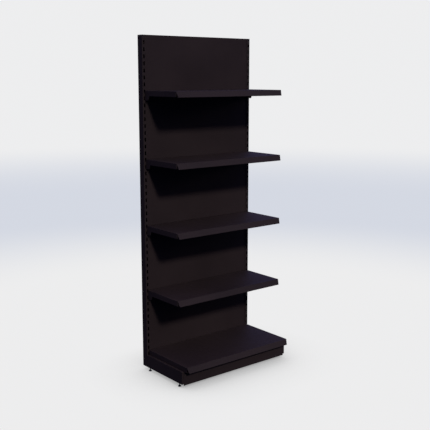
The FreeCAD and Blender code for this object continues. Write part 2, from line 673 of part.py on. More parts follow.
def base_rails():
    """Stiffeners spread evenly under the base shelf."""
    half = HALF_BAY - RAIL_END_GAP
    pitch = (BASE_DEPTH - BASE_REAR_GAP) / (BASE_RAIL_COUNT + 1)
    return [rail(BASE_TOP - SHELF_SHEET, -BASE_REAR_GAP - pitch * (index + 1), half)
            for index in range(BASE_RAIL_COUNT)]


def kick_face_y():
    return -LEG_LENGTH - KICK_LEG_GAP - KICK_SHEET


def wing_x():
    """Outer face of the kick plate's wings, just inside the legs and their clips."""
    return HALF_BAY - UPRIGHT_WIDTH / 2 - CLIP_SHEET - CLIP_GAP


def kick_plate():
    """Front plinth with folded edges and two rear wings that slide into the clips on the legs."""
    half = HALF_BAY - KICK_SIDE_GAP
    low = KICK_FLOOR_GAP
    high = BASE_TOP - BASE_SIDE_HEIGHT - KICK_TOP_GAP
    face = kick_face_y()
    edge_half = wing_x() - CORNER_RELIEF
    path = [(face + KICK_EDGE, high), (face, high), (face, low), (face + KICK_EDGE, low)]
    corners, radii = sheet_outline(path, KICK_SHEET)
    middle = side_profile(corners, radii, -edge_half, edge_half)
    fold = FOLD_RADIUS + KICK_SHEET
    front = block(-half, half, face, face + KICK_SHEET, low + fold, high - fold)
    end = block(wing_x(), half, face, face + KICK_SHEET, low, high)
    wing = block(wing_x() - KICK_SHEET, wing_x(), face + KICK_SHEET / 2, face + KICK_WING,
                 low + KICK_WING_INSET, high - KICK_WING_INSET)
    return joined([middle, front, end, mirrored(end), wing, mirrored(wing)])


def kick_clip():
    """Bent spring clip on the inner side of the right leg; the kick plate's wing slides into its U."""
    leg_face = HALF_BAY - UPRIGHT_WIDTH / 2
    front = -LEG_LENGTH + CLIP_LENGTH / 4
    rear = front + CLIP_LENGTH
    middle = (KICK_FLOOR_GAP + LEG_TOP) / 2
    outer = leg_face - CLIP_SHEET
    inner = wing_x() - KICK_SHEET - CLIP_GAP
    base = block(outer, leg_face, front, rear, middle - CLIP_HEIGHT / 2, middle + CLIP_HEIGHT / 2)
    bend = block(inner - CLIP_SHEET, leg_face, rear - CLIP_SHEET, rear,
                 middle - CLIP_HEIGHT / 2, middle + CLIP_HEIGHT / 2)
    tongue = block(inner - CLIP_SHEET, inner, front + CLIP_GAP, rear,
                   middle - CLIP_HEIGHT / 2, middle + CLIP_HEIGHT / 2)
    return joined([base, bend, tongue])


def foot_stud():
    """Threaded stud of a levelling foot, drawn at the origin."""
    stud = cylinder(STUD_RADIUS, STUD_LENGTH, Vector(0, 0, PAD_HEIGHT - PAD_SOCKET_DEPTH), Vector(0, 0, 1))
    return stud.makeChamfer(STUD_CHAMFER, [stud.Edges[0], stud.Edges[2]])


def foot_pad():
    """Plastic pad with a socket for its stud, drawn at the origin."""
    pad = cylinder(PAD_RADIUS, PAD_HEIGHT, Vector(), Vector(0, 0, 1))
    upper_edge = [edge for edge in pad.Edges if abs(edge.BoundBox.ZMin - PAD_HEIGHT) < 1e-6]
    pad = pad.makeChamfer(PAD_CHAMFER, upper_edge)
    socket = cylinder(STUD_RADIUS + PAD_SOCKET_CLEARANCE, PAD_SOCKET_DEPTH + PAST,
                      Vector(0, 0, PAD_HEIGHT - PAD_SOCKET_DEPTH), Vector(0, 0, 1))
    return pad.cut(socket)


def lock_nut():
    """Lock nut under a leg's foot plate, drawn at X = Y = 0."""
    low = FOOT_PLATE_BOTTOM - LOCK_NUT_HEIGHT
    nut = hexagon(LOCK_NUT_FLATS, LOCK_NUT_HEIGHT, Vector(0, 0, low), Vector(0, 0, 1))
    return nut.cut(cylinder(STUD_RADIUS + STUD_HOLE_CLEARANCE, LOCK_NUT_HEIGHT + 2 * PAST,
                            Vector(0, 0, low - PAST), Vector(0, 0, 1)))


def placed(shape, x, y):
    copy = shape.copy()
    copy.translate(Vector(x, y, 0))
    return copy


def main():
    os.makedirs("parts", exist_ok=True)

    post = upright()
    cap = upright_cap()
    leg = base_leg()
    for name, side in SIDES.items():
        save("upright_" + name, placed(for_side(post, side), side * HALF_BAY, 0))
        save("upright_cap_" + name, placed(cap, side * HALF_BAY, 0))
        save("base_leg_" + name, placed(leg, side * HALF_BAY, 0))
        save("kick_clip_" + name, for_side(kick_clip(), side))

    for number in range(1, PANEL_COUNT + 1):
        save("back_panel_%d" % number, back_panel(number))
    for name, centre in TIE_CENTRES.items():
        save("tie_beam_" + name, tie_beam(centre))
    save("tie_bolts", *tie_bolts())

    for number in range(1, SHELF_COUNT + 1):
        save("shelf_tray_%d" % number, shelf_tray(number))
        save("shelf_rail_%d" % number, shelf_rail(number))
        for name, side in SIDES.items():
            save("shelf_bracket_%d_%s" % (number, name), for_side(shelf_bracket(number), side))

    save("leg_bolts", *leg_bolts())
    save("base_shelf", base_shelf())
    save("base_shelf_rails", *base_rails())
    save("kick_plate", kick_plate())

    nuts = []
    for name, side in SIDES.items():
        for end, y in FOOT_POSITIONS.items():
            where = "%s_%s" % (end, name)
            save("foot_stud_" + where, placed(foot_stud(), side * HALF_BAY, y))
            save("foot_pad_" + where, placed(foot_pad(), side * HALF_BAY, y))
            nuts.append(placed(lock_nut(), side * HALF_BAY, y))
    save("foot_lock_nuts", *nuts)


main()
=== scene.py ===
"""Finish of a single-sided gondola shelving bay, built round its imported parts.

Each operator makes one kind of piece: coated sheet metal with softened edges, slotted uprights, stiffening
rails, fasteners, threaded feet and moulded plastic. The last one sets up the studio.
"""

import json
import math

import bmesh
import bpy
from bpy.props import FloatProperty, FloatVectorProperty, IntProperty, PointerProperty
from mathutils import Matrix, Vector
from mathutils.bvhtree import BVHTree

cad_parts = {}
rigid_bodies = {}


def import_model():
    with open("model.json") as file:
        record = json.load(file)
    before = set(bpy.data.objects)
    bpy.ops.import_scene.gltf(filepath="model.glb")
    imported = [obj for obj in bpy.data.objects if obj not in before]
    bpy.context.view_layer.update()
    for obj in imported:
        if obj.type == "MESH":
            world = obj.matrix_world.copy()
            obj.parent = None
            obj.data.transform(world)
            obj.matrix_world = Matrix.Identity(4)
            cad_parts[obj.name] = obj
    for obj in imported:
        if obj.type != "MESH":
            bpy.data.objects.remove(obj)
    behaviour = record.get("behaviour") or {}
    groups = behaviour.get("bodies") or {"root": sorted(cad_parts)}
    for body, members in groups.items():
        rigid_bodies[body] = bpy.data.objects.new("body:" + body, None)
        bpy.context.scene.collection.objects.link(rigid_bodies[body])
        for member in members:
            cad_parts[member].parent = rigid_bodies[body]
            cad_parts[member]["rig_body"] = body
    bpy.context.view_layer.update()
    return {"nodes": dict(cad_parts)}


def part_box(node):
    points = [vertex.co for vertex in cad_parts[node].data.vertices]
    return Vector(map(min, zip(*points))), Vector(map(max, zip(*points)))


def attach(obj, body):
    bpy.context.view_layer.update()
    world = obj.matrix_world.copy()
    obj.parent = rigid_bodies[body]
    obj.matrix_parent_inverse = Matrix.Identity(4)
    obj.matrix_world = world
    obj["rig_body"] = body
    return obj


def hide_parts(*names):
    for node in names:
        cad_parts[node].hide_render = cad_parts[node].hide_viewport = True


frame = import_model()
MATERIALS = {}             # materials and trees that pieces share, by name or by maker
TREES = {}

bl_info = {
    "name": "Shelving Bay Finish",
    "version": (1, 0, 0),
    "blender": (4, 5, 0),
    "location": "3D View > Sidebar > Shelving Bay",
    "description": "Builds the coated metal, fasteners, feet and studio of a gondola shelving bay",
    "category": "Object",
}

SIDES = {"left": -1, "right": 1}
ENDS = ("front", "rear")
SHELVES = (1, 2, 3, 4)
PANELS = (1, 2, 3, 4, 5)
TIE_BEAMS = ("bottom", "middle", "top")

ALONG_X = Vector((1.0, 0.0, 0.0))
ALONG_Y = Vector((0.0, 1.0, 0.0))
ALONG_Z = Vector((0.0, 0.0, 1.0))

CORNER_POINTS = 5          # points of each rounded corner
THREAD_STEPS = 20          # points of the thread in each turn
RAIL_FLANGE = 0.014        # width of a stiffening rail's flanges
RAIL_SHEET = 0.001
WELD_RISE = 0.0004
CAP_EDGE = 0.0005          # edge radii of the moulded and bent pieces
PAD_EDGE = 0.0004
CLIP_EDGE = 0.0003
RIB_SHARE = 0.62           # height of a pad's grip ribs against the pad's own
COLLAR_SHARE = 0.62        # radius of a fastener's collar against its width across the flats
CHAMFER_SHARE = 0.475      # radius of a head's chamfered face against its width across the flats
BEVEL_STEPS = 2
BIG_FACE_WEIGHT = 50
SPREAD_OF_NOISE = (0.3, 0.7)           # span in which most of a noise texture's values lie
WORN_COLOUR = (0.055, 0.048, 0.046)    # coat rubbed thin
PLASTIC_DARK = (0.010, 0.010, 0.011)
PLASTIC_LIGHT = (0.015, 0.015, 0.017)
COAT_IOR = 1.5
PLASTIC_IOR = 1.48
PLASTIC_SPECULAR = 0.15

MERGE_DISTANCE = 2e-6
FLAT_ANGLE = math.radians(1.0)
CORNER_ANGLE = math.radians(30.0)


# ---- Settings ----

def length(name, description, default):
    return FloatProperty(name=name, description=description, default=default, min=0.0, precision=5,
                         subtype="DISTANCE", unit="LENGTH")


def share(name, description, default):
    return FloatProperty(name=name, description=description, default=default, min=0.0, max=1.0,
                         subtype="FACTOR")


def tint_of(name, description, default):
    return FloatVectorProperty(name=name, description=description, default=default, min=0.0, max=1.0,
                               subtype="COLOR")


class CoatSettings(bpy.types.PropertyGroup):
    """Powder coat of the sheet metal."""
    colour: tint_of("Coat colour", "Colour of the coat in full light", (0.0136, 0.0088, 0.0086))
    variation: share("Colour variation", "How far the colour drifts over a large piece", 0.14)
    roughness: share("Roughness", "Middle roughness of the coat", 0.58)
    specular: share("Specular level", "Strength of the coat's reflections", 0.11)
    peel_size: length("Peel size", "Width of one orange-peel ripple", 0.0016)
    peel_depth: length("Peel depth", "Height of the orange-peel ripples", 0.00004)
    edge_radius: length("Edge radius", "Rounding of the cut sheet edges under the coat", 0.00022)
    edge_wear: share("Edge wear", "How much of the coat is rubbed thin along the edges", 0.45)


class UprightSettings(bpy.types.PropertyGroup):
    """Tube, slot column and holes of an upright."""
    wall: length("Wall", "Wall of the tube", 0.002)
    corner_radius: length("Corner radius", "Outer radius of the tube's corners", 0.004)
    slot_width: length("Slot width", "Width of a bracket slot", 0.012)
    slot_height: length("Slot height", "Height of a bracket slot", 0.028)
    slot_corner: length("Slot corner", "Corner radius of a bracket slot", 0.002)
    slot_pitch: length("Slot pitch", "Distance from one slot to the next", 0.05)
    first_slot: length("First slot", "Lower end of the tube to the middle of its lowest slot", 0.057)
    slot_count: IntProperty(name="Slots", description="Number of slots in the column", default=50, min=1)
    tab_slot: FloatVectorProperty(
        name="Tab slot", description="Cutter of the panels' tab slots: across the wall, width and height",
        subtype="XYZ", unit="LENGTH", default=(0.006, 0.0039, 0.0264))
    tab_inset: length("Tab inset", "Edge of a back panel to the middle of its tab", 0.060)
    tab_depth: length("Tab depth", "Face of a back panel to the middle of its tab", 0.01575)
    tie_hole: length("Tie hole", "Radius of the holes for the tie bolts", 0.0033)
    leg_hole: length("Leg hole", "Radius of the hole for the leg bolt", 0.0043)
    wall_hole: length("Wall hole", "Radius of the wall fixing hole", 0.0045)
    wall_hole_drop: length("Wall hole drop", "Upper end of the tube to the wall fixing hole", 0.060)


class HardwareSettings(bpy.types.PropertyGroup):
    """Bolts, nuts, levelling feet and spot welds."""
    tie_bolt_flats: length("Tie bolt flats", "Across the flats of the tie bolts' heads", 0.010)
    tie_bolt_head: length("Tie bolt head", "Height of the tie bolts' heads", 0.004)
    tie_bolt_radius: length("Tie bolt radius", "Radius of the tie bolts' shanks", 0.003)
    leg_bolt_flats: length("Leg bolt flats", "Across the flats of the leg bolts' heads", 0.013)
    leg_bolt_head: length("Leg bolt head", "Height of the leg bolts' heads", 0.0055)
    leg_bolt_radius: length("Leg bolt radius", "Radius of the leg bolts' shanks", 0.004)
    bolt_length: length("Bolt length", "Length of the bolts' shanks", 0.014)
    washer: length("Washer", "Thickness of the collar under a head or nut", 0.0008)
    thread_pitch: length("Thread pitch", "Pitch of the levelling feet's thread", 0.00125)
    thread_depth: length("Thread depth", "Depth of the levelling feet's thread", 0.0007)
    pad_ribs: IntProperty(name="Pad ribs", description="Grip ribs round a foot pad", default=28, min=3)
    rib_radius: length("Rib radius", "Radius of a grip rib", 0.0006)
    weld_pitch: length("Weld pitch", "Distance from one spot weld to the next", 0.070)
    weld_radius: length("Weld radius", "Radius of a spot weld's mark", 0.0032)
    zinc_colour: tint_of("Zinc colour", "Colour of the bright zinc plate", (0.55, 0.56, 0.58))
    black_zinc_colour: tint_of("Black zinc colour", "Colour of the black zinc plate", (0.030, 0.030, 0.032))


class StudioSettings(bpy.types.PropertyGroup):
    """Floor, backdrop and lights."""
    near_tone: tint_of("Floor tone", "Floor round the bay", (0.847, 0.847, 0.852))
    far_tone: tint_of("Backdrop tone", "Floor behind the bay", (0.660, 0.690, 0.765))
    high_tone: tint_of("Upper tone", "Floor far away and the backdrop", (0.850, 0.852, 0.860))
    sky: tint_of("Sky", "Light that reaches the bay from overhead", (0.42, 0.40, 0.95))
    horizon: tint_of("Horizon", "Light that reaches the bay from the sides", (0.015, 0.030, 0.09))
    bounce: tint_of("Bounce", "Light that reaches the bay from the floor", (0.020, 0.032, 0.07))
    key_strength: FloatProperty(
        name="Key strength", description="Strength of the main light", default=2.85, min=0.0)
    rear_strength: FloatProperty(
        name="Rear strength", description="Strength of the light behind the bay", default=3.2, min=0.0)
    side_strength: FloatProperty(
        name="Side strength", description="Strength of the light from the right", default=1.8, min=0.0)


# ---- Helpers for node trees ----

def add_node(tree, kind, inputs=None, **settings):
    """Add a node; a value in inputs is either a constant or the socket that feeds it."""
    made = tree.nodes.new(kind)
    for name, value in settings.items():
        setattr(made, name, value)
    for key, value in (inputs or {}).items():
        if isinstance(value, bpy.types.NodeSocket):
            tree.links.new(value, made.inputs[key])
        else:
            made.inputs[key].default_value = value
    return made


def arrange(tree):
    """Set the nodes out in rows, in the order in which they were made."""
    for index, made in enumerate(tree.nodes):
        made.location = (index % 8 * 220, index // 8 * -320)


def math_node(tree, operation, *values):
    made = add_node(tree, "ShaderNodeMath", dict(enumerate(values)), operation=operation)
    return made.outputs[0]


# ---- Materials ----

def noise(tree, place, scale, detail=2.0, roughness=0.5):
    made = add_node(tree, "ShaderNodeTexNoise",
                    {"Vector": place, "Scale": scale, "Detail": detail, "Roughness": roughness})
    return made.outputs["Fac"]


def spread(tree, value, low, high, to_low, to_high):
    """Map a value from one span to another, without leaving the second."""
    made = add_node(tree, "ShaderNodeMapRange",
                    {"Value": value, "From Min": low, "From Max": high, "To Min": to_low, "To Max": to_high})
    return made.outputs["Result"]


def mixed_colour(tree, factor, first, second):
    made = add_node(tree, "ShaderNodeMix", data_type="RGBA")
    for key, value in (("Factor_Float", factor), ("A_Color", first), ("B_Color", second)):
        socket = next(item for item in made.inputs if item.identifier == key)
        if isinstance(value, bpy.types.NodeSocket):
            tree.links.new(value, socket)
        else:
            socket.default_value = value if key == "Factor_Float" else (*value, 1.0)
    return next(item for item in made.outputs if item.identifier == "Result_Color")


def new_material(name):
    """Material with an empty tree, its Principled shader and the object coordinates."""
    material = bpy.data.materials.new(name)
    material.use_nodes = True
    tree = material.node_tree
    tree.nodes.clear()
    shader = add_node(tree, "ShaderNodeBsdfPrincipled")
    add_node(tree, "ShaderNodeOutputMaterial", {"Surface": shader.outputs[0]})
    place = add_node(tree, "ShaderNodeTexCoord").outputs["Object"]
    return material, tree, shader, place


def stretched(tree, place, scale):
    return add_node(tree, "ShaderNodeMapping", {"Vector": place, "Scale": scale}).outputs[0]


def scaled(colour, factor):
    return tuple(min(1.0, part * factor) for part in colour)


def powder_coat(name, coat, tint=1.0, rub=(0.0, 0.0, 0.0), rub_strength=0.0, worn=0.0):
    """Satin powder coat with orange peel, slow colour drift, fine dust specks and, if asked, rub marks.

    rub gives the frequencies of the rub marks along X, Y and Z. worn mixes in patches where the coat is thin.
    """
    material, tree, shader, place = new_material(name)
    base = scaled(coat.colour, tint)
    cloud = noise(tree, place, 2.3, 3.0)
    patches = noise(tree, place, 38.0, 4.0, 0.6)
    specks = noise(tree, place, 1400.0, 1.0)
    colour = mixed_colour(tree, spread(tree, cloud, *SPREAD_OF_NOISE, 0.0, 1.0),
                          scaled(base, 1 - coat.variation), scaled(base, 1 + coat.variation))
    colour = mixed_colour(tree, spread(tree, specks, 0.62, 0.78, 0.0, 0.22), colour, scaled(base, 2.6))
    rough = math_node(tree, "ADD",
                      spread(tree, patches, *SPREAD_OF_NOISE, coat.roughness - 0.05, coat.roughness + 0.05),
                      spread(tree, cloud, *SPREAD_OF_NOISE, -0.03, 0.03))
    if rub_strength:
        streaks = noise(tree, stretched(tree, place, rub), 1.0, 3.0, 0.65)
        where = noise(tree, place, 4.5, 2.0)
        marks = math_node(tree, "MULTIPLY", spread(tree, streaks, 0.56, 0.72, 0.0, 1.0),
                          spread(tree, where, 0.45, 0.65, 0.0, rub_strength))
        colour = mixed_colour(tree, marks, colour, scaled(base, 1.9))
        rough = math_node(tree, "SUBTRACT", rough, math_node(tree, "MULTIPLY", marks, 0.16))
    if worn:
        thin = spread(tree, noise(tree, place, 95.0, 4.0, 0.7), 0.42, 0.62, 0.0, worn)
        colour = mixed_colour(tree, thin, colour, WORN_COLOUR)
        rough = math_node(tree, "SUBTRACT", rough, math_node(tree, "MULTIPLY", thin, 0.18))
    peel = noise(tree, place, 1.0 / coat.peel_size, 2.0, 0.45)
    bump = add_node(tree, "ShaderNodeBump", {"Height": peel, "Strength": 1.0, "Distance": coat.peel_depth})
    tree.links.new(colour, shader.inputs["Base Color"])
    tree.links.new(rough, shader.inputs["Roughness"])
    tree.links.new(bump.outputs[0], shader.inputs["Normal"])
    shader.inputs["IOR"].default_value = COAT_IOR
    shader.inputs["Specular IOR Level"].default_value = coat.specular
    arrange(tree)
    return material


def zinc_plate(name, plating):
    """Zinc of the given colour, with the cloudy spangle and fine drawing lines of plated steel."""
    material, tree, shader, place = new_material(name)
    spangle = add_node(tree, "ShaderNodeTexVoronoi", {"Vector": place, "Scale": 420.0}).outputs["Color"]
    grey = add_node(tree, "ShaderNodeSeparateColor", {"Color": spangle}).outputs[0]
    cloud = noise(tree, place, 60.0, 3.0)
    tone = math_node(tree, "ADD", math_node(tree, "MULTIPLY", grey, 0.35),
                     math_node(tree, "MULTIPLY", cloud, 0.65))
    mixed = mixed_colour(tree, tone, scaled(plating, 0.72), scaled(plating, 1.12))
    lines = noise(tree, stretched(tree, place, (9000.0, 9000.0, 500.0)), 1.0, 1.0)
    rough = math_node(tree, "ADD", spread(tree, cloud, *SPREAD_OF_NOISE, 0.26, 0.40),
                      spread(tree, lines, *SPREAD_OF_NOISE, -0.04, 0.04))
    bump = add_node(tree, "ShaderNodeBump", {"Height": lines, "Strength": 0.5, "Distance": 0.00001})
    tree.links.new(mixed, shader.inputs["Base Color"])
    tree.links.new(rough, shader.inputs["Roughness"])
    tree.links.new(bump.outputs[0], shader.inputs["Normal"])
    shader.inputs["Metallic"].default_value = 1.0
    arrange(tree)
    return material


def moulded_plastic(name):
    """Satin black polymer with a fine spark-eroded grain."""
    material, tree, shader, place = new_material(name)
    grain = noise(tree, place, 1900.0, 3.0, 0.6)
    flow = noise(tree, place, 45.0, 2.0)
    colour = mixed_colour(tree, spread(tree, flow, *SPREAD_OF_NOISE, 0.0, 1.0), PLASTIC_DARK, PLASTIC_LIGHT)
    rough = spread(tree, grain, *SPREAD_OF_NOISE, 0.42, 0.60)
    bump = add_node(tree, "ShaderNodeBump", {"Height": grain, "Strength": 1.0, "Distance": 0.00002})
    tree.links.new(colour, shader.inputs["Base Color"])
    tree.links.new(rough, shader.inputs["Roughness"])
    tree.links.new(bump.outputs[0], shader.inputs["Normal"])
    shader.inputs["IOR"].default_value = PLASTIC_IOR
    shader.inputs["Specular IOR Level"].default_value = PLASTIC_SPECULAR
    arrange(tree)
    return material


def shelf_materials(coat):
    """Coat of the shelves, rubbed from front to back by goods, and its thinner coat along the edges."""
    return [powder_coat("shelf_coat", coat, 1.0, (160.0, 5.0, 160.0), 0.35),
            powder_coat("shelf_edge_coat", coat, 1.25, worn=coat.edge_wear)]


def plain_materials(coat, name, tint=1.0):
    """Coat without rub marks and its thinner coat along the edges."""
    return [powder_coat(name + "_coat", coat, tint),
            powder_coat(name + "_edge_coat", coat, tint * 1.2, worn=coat.edge_wear)]


def base_materials(coat):
    """Coat of the base and the tie beams, scuffed along its length by shoes and mops."""
    return [powder_coat("base_coat", coat, 1.0, (6.0, 150.0, 150.0), 0.45),
            powder_coat("base_edge_coat", coat, 1.25, worn=coat.edge_wear)]


def made_materials(maker, name, *arguments):
    """Materials by name, made once."""
    if name not in MATERIALS:
        MATERIALS[name] = maker(*arguments)
    return MATERIALS[name]


def plastic_materials():
    return [moulded_plastic("moulded_plastic")]


def plated_materials(name, plating):
    return [zinc_plate(name + "_plate", plating)]


# ---- Helpers for pieces ----

def new_object(name, mesh, materials):
    for material in materials:
        mesh.materials.append(material)
    piece = bpy.data.objects.new(name, mesh)
    bpy.context.scene.collection.objects.link(piece)
    return piece


def soften(mesh, radius):
    """Merge a mesh's triangles into flat faces and round its sharp edges; the rounded faces take slot 1.

    Where two edges are nearly in line the rounding throws a point far out, so such points go back to the
    surface.
    """
    work = bmesh.new()
    work.from_mesh(mesh)
    bmesh.ops.remove_doubles(work, verts=work.verts, dist=MERGE_DISTANCE)
    surface = BVHTree.FromBMesh(work)
    bmesh.ops.dissolve_limit(work, angle_limit=FLAT_ANGLE, verts=work.verts, edges=work.edges)
    corners = [edge for edge in work.edges if edge.is_manifold and edge.calc_face_angle() > CORNER_ANGLE]
    bmesh.ops.bevel(work, geom=corners, offset=radius, offset_type="OFFSET", segments=BEVEL_STEPS,
                    profile=0.5, affect="EDGES", clamp_overlap=False, material=1)
    for vertex in work.verts:
        place, _, _, distance = surface.find_nearest(vertex.co)
        if distance > radius:
            vertex.co = place
    for face in work.faces:
        face.smooth = True
    bmesh.ops.triangulate(work, faces=[face for face in work.faces if len(face.verts) > 4])
    work.to_mesh(mesh)
    work.free()


def settle_normals(piece):
    """Let the large flat faces decide the shading at their borders, and keep the result in the mesh."""
    modifier = piece.modifiers.new("Weighted Normal", "WEIGHTED_NORMAL")
    modifier.mode = "FACE_AREA"
    modifier.weight = BIG_FACE_WEIGHT
    evaluated = piece.evaluated_get(bpy.context.evaluated_depsgraph_get())
    settled = bpy.data.meshes.new_from_object(evaluated)
    piece.modifiers.clear()
    piece.data = settled


def node_copy(node, radius):
    """A CAD node's own shape with softened edges and no material."""
    mesh = frame["nodes"][node].data.copy()
    mesh.materials.clear()
    soften(mesh, radius)
    return mesh


def stand_in(name, mesh, materials, node):
    """Piece that rides on a CAD node's body and stands for that node."""
    piece = new_object(name, mesh, materials)
    settle_normals(piece)
    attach(piece, frame["nodes"][node]["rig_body"])
    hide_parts(node)
    return piece


def coated_copy(node, name, radius, materials):
    return stand_in(name, node_copy(node, radius), materials, node)


# ---- Helpers for Geometry Nodes ----

LENGTH = "NodeSocketFloat"
COUNT = "NodeSocketInt"
SIZE = "NodeSocketVector"
FINISH = "NodeSocketMaterial"


def new_tree(name, **inputs):
    """Geometry Nodes tree with named inputs; gives the tree and its inputs' sockets by name."""
    tree = bpy.data.node_groups.new(name, "GeometryNodeTree")
    tree.interface.new_socket("Geometry", in_out="OUTPUT", socket_type="NodeSocketGeometry")
    for key, kind in {"geometry": "NodeSocketGeometry", **inputs, "finish": FINISH}.items():
        tree.interface.new_socket(key.replace("_", " ").capitalize(), in_out="INPUT", socket_type=kind)
    sockets = add_node(tree, "NodeGroupInput").outputs
    return tree, {socket.name.lower().replace(" ", "_"): socket for socket in sockets if socket.name}


def end_tree(tree, geometry, finish):
    """Close a tree with its realized geometry and its finish."""
    whole = add_node(tree, "GeometryNodeRealizeInstances", {"Geometry": geometry}).outputs[0]
    painted = add_node(tree, "GeometryNodeSetMaterial", {"Geometry": whole, "Material": finish}).outputs[0]
    add_node(tree, "NodeGroupOutput", {"Geometry": painted})
    arrange(tree)
    return tree


def grown(tree, mesh, **values):
    """Plain mesh that a tree makes from a start mesh and the values of its inputs."""
    holder = new_object(tree.name, mesh, [])
    modifier = holder.modifiers.new(tree.name, "NODES")
    modifier.node_group = tree
    for item in tree.interface.items_tree:
        key = item.name.lower().replace(" ", "_")
        if item.in_out == "INPUT" and key in values:
            modifier[item.identifier] = values[key]
    evaluated = holder.evaluated_get(bpy.context.evaluated_depsgraph_get())
    made = bpy.data.meshes.new_from_object(evaluated)
    bpy.data.objects.remove(holder)
    if not made.polygons:
        raise RuntimeError("the tree %s made nothing" % tree.name)
    return made


def made_tree(maker):
    """A tree that several pieces share, made once."""
    if maker not in TREES:
        TREES[maker] = maker()
    return TREES[maker]


def joined(tree, *parts):
    made = add_node(tree, "GeometryNodeJoinGeometry")
    for part in parts:
        tree.links.new(part, made.inputs[0])
    return made.outputs[0]


def vector(tree, x=0.0, y=0.0, z=0.0):
    return add_node(tree, "ShaderNodeCombineXYZ", {"X": x, "Y": y, "Z": z}).outputs[0]


def moved(tree, geometry, offset, turn=(0.0, 0.0, 0.0)):
    made = add_node(tree, "GeometryNodeTransform",
                    {"Geometry": geometry, "Translation": offset, "Rotation": turn})
    return made.outputs[0]


def rounded_outline(tree, width, height, radius):
    """Rectangle in the XY plane with rounded corners."""
    outline = add_node(tree, "GeometryNodeCurvePrimitiveQuadrilateral", {"Width": width, "Height": height})
    return add_node(tree, "GeometryNodeFilletCurve",
                    {"Curve": outline.outputs[0], "Radius": radius, "Count": CORNER_POINTS},
                    mode="POLY").outputs[0]


def prism(tree, outlines, height):
    """Closed solid that stands on outlines in the XY plane; an outline inside another is a hole."""
    filled = add_node(tree, "GeometryNodeFillCurve", {"Curve": outlines}, mode="TRIANGLES").outputs[0]
    raised = add_node(tree, "GeometryNodeExtrudeMesh",
                      {"Mesh": filled, "Offset": tuple(ALONG_Z), "Offset Scale": height, "Individual": False},
                      mode="FACES").outputs["Mesh"]
    under = add_node(tree, "GeometryNodeFlipFaces", {"Mesh": filled}).outputs[0]
    return add_node(tree, "GeometryNodeMergeByDistance",
                    {"Geometry": joined(tree, raised, under), "Distance": MERGE_DISTANCE}).outputs[0]


def cut(tree, solid, *cutters):
    made = add_node(tree, "GeometryNodeMeshBoolean", {"Mesh 1": solid}, operation="DIFFERENCE",
                    solver="EXACT")
    for cutter in cutters:
        tree.links.new(cutter, made.inputs["Mesh 2"])
    return made.outputs["Mesh"]


def round_bar(tree, radius, height, vertices=24):
    """Cylinder that stands on the XY plane."""
    bar = add_node(tree, "GeometryNodeMeshCylinder",
                   {"Vertices": vertices, "Radius": radius, "Depth": height})
    return moved(tree, bar.outputs["Mesh"], vector(tree, z=math_node(tree, "MULTIPLY", height, 0.5)))


def attribute(tree, name, kind):
    made = add_node(tree, "GeometryNodeInputNamedAttribute", {"Name": name}, data_type=kind)
    return made.outputs["Attribute"]


def turned_to(tree, direction):
    """Rotation that turns +Z to a direction."""
    return add_node(tree, "FunctionNodeAlignRotationToVector", {"Vector": direction}, axis="Z").outputs[0]


def on_points(tree, points, shape, **settings):
    """Instances of a shape; settings may hold the node's selection, rotation and scale."""
    inputs = {"Points": points, "Instance": shape}
    inputs.update({key.capitalize(): value for key, value in settings.items()})
    return add_node(tree, "GeometryNodeInstanceOnPoints", inputs).outputs[0]


def guide_points(places, **attributes):
    """Start mesh with one loose point at each place; attributes are lists of numbers or of directions."""
    mesh = bpy.data.meshes.new("guide")
    mesh.from_pydata([tuple(place) for place in places], [], [])
    for name, values in attributes.items():
        is_direction = len(values) > 0 and hasattr(values[0], "__len__")
        data = mesh.attributes.new(name, "FLOAT_VECTOR" if is_direction else "FLOAT", "POINT").data
        for item, value in zip(data, values):
            if is_direction:
                item.vector = value
            else:
                item.value = value
    return mesh


def solid_boxes(node):
    """Lowest and highest corner of each separate solid of a CAD node."""
    work = bmesh.new()
    work.from_mesh(frame["nodes"][node].data)
    bmesh.ops.remove_doubles(work, verts=work.verts, dist=MERGE_DISTANCE)
    waiting = set(work.verts)
    boxes = []
    while waiting:
        reached = [waiting.pop()]
        for vertex in reached:
            for edge in vertex.link_edges:
                other = edge.other_vert(vertex)
                if other in waiting:
                    waiting.remove(other)
                    reached.append(other)
        places = [vertex.co for vertex in reached]
        boxes.append((Vector([min(place[axis] for place in places) for axis in range(3)]),
                      Vector([max(place[axis] for place in places) for axis in range(3)])))
    work.free()
    return sorted(boxes, key=lambda box: tuple(round(part, 4) for part in box[0]))


# ---- Geometry Nodes trees ----

